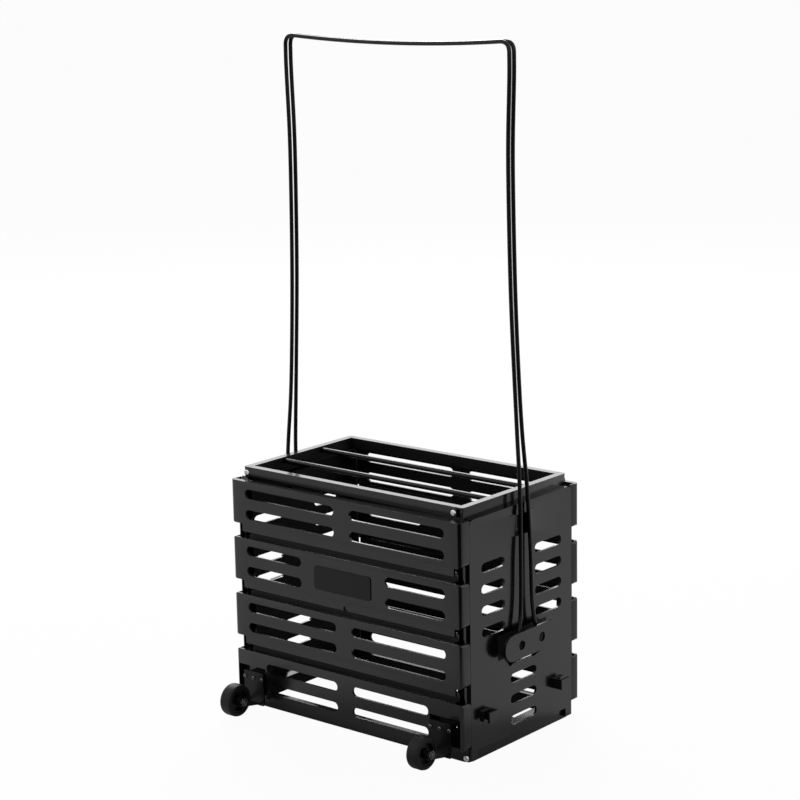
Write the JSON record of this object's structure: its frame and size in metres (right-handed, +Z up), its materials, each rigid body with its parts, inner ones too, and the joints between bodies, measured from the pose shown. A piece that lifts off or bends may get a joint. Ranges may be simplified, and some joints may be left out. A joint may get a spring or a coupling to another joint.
{
  "type": "ball cart",
  "caption": "Slatted black plastic ball basket on two small wheels, with bars across both mouths and two wire handles that swing down as legs.",
  "frame": {"origin": "middle of the floor under the whole cart, wheels included", "axes": "+X along the basket's length to its right end panel, +Y to the back, away from the wheels and the badge plate, +Z up"},
  "size_m": [0.3874, 0.29, 0.8286],
  "materials": {
    "black_plastic": "moulded, low gloss",
    "badge_plastic": "fine matt",
    "black_wire": "black powder coat on steel wire",
    "black_rubber": "matt",
    "bright_steel": "zinc plated"
  },
  "bodies": {
    "cart": {"end_panel_right": "black_plastic", "end_panel_left": "black_plastic", "front_slat_1": "black_plastic", "back_slat_1": "black_plastic", "front_slat_2": "black_plastic", "back_slat_2": "black_plastic", "front_slat_3": "black_plastic", "back_slat_3": "black_plastic", "front_slat_4": "black_plastic", "back_slat_4": "black_plastic", "top_rail_front": "black_plastic", "top_rail_back": "black_plastic", "top_rail_left": "black_plastic", "top_rail_right": "black_plastic", "bottom_rail_front": "black_plastic", "bottom_rail_back": "black_plastic", "bottom_rail_left": "black_plastic", "bottom_rail_right": "black_plastic", "caster_bracket_left": "black_plastic", "caster_bracket_right": "black_plastic", "badge_plate": "badge_plastic", "top_screw_front_left": "bright_steel", "top_screw_front_right": "bright_steel", "top_screw_back_left": "bright_steel", "top_screw_back_right": "bright_steel", "bottom_screw_front_left": "bright_steel", "bottom_screw_front_right": "bright_steel", "bottom_screw_back_left": "bright_steel", "bottom_screw_back_right": "bright_steel", "caster_screw_left_1": "bright_steel", "caster_screw_left_2": "bright_steel", "caster_screw_left_3": "bright_steel", "caster_screw_right_1": "bright_steel", "caster_screw_right_2": "bright_steel", "caster_screw_right_3": "bright_steel", "axle_bolt_left": "bright_steel", "axle_bolt_right": "bright_steel", "axle_nut_left": "bright_steel", "axle_nut_right": "bright_steel"},
    "front_handle_body": {"front_handle": "black_wire"},
    "rear_handle_body": {"rear_handle": "black_wire"},
    "left_wheel": {"wheel_hub_left": "black_plastic", "wheel_tyre_left": "black_rubber"},
    "right_wheel": {"wheel_hub_right": "black_plastic", "wheel_tyre_right": "black_rubber"},
    "top_bar_front_body": {"top_bar_front": "black_wire"},
    "top_bar_back_body": {"top_bar_back": "black_wire"},
    "bottom_bar_front_body": {"bottom_bar_front": "black_wire"},
    "bottom_bar_back_body": {"bottom_bar_back": "black_wire"}
  },
  "joints": [
    {"name": "front_handle_fold", "type": "hinge", "parent": "cart", "child": "front_handle_body", "pos_m": [0, 0.00865, 0.1262], "axis": [1, 0, 0], "range_deg": [0, 150.1]},
    {"name": "rear_handle_fold", "type": "hinge", "parent": "cart", "child": "rear_handle_body", "pos_m": [0, 0.04815, 0.1262], "axis": [-1, 0, 0], "range_deg": [0, 150.1]},
    {"name": "left_wheel_spin", "type": "hinge", "parent": "cart", "child": "left_wheel", "pos_m": [-0.148, -0.12495, 0.0235], "axis": [1, 0, 0], "continuous": true},
    {"name": "right_wheel_spin", "type": "hinge", "parent": "cart", "child": "right_wheel", "pos_m": [0.148, -0.12495, 0.0235], "axis": [1, 0, 0], "continuous": true},
    {"name": "top_bar_front_spin", "type": "hinge", "parent": "cart", "child": "top_bar_front_body", "pos_m": [0, -0.0066, 0.3015], "axis": [1, 0, 0], "continuous": true},
    {"name": "top_bar_back_spin", "type": "hinge", "parent": "cart", "child": "top_bar_back_body", "pos_m": [0, 0.0634, 0.3015], "axis": [1, 0, 0], "continuous": true},
    {"name": "bottom_bar_front_spin", "type": "hinge", "parent": "cart", "child": "bottom_bar_front_body", "pos_m": [0, -0.0066, 0.005], "axis": [1, 0, 0], "continuous": true},
    {"name": "bottom_bar_back_spin", "type": "hinge", "parent": "cart", "child": "bottom_bar_back_body", "pos_m": [0, 0.0634, 0.005], "axis": [1, 0, 0], "continuous": true}
  ]
}
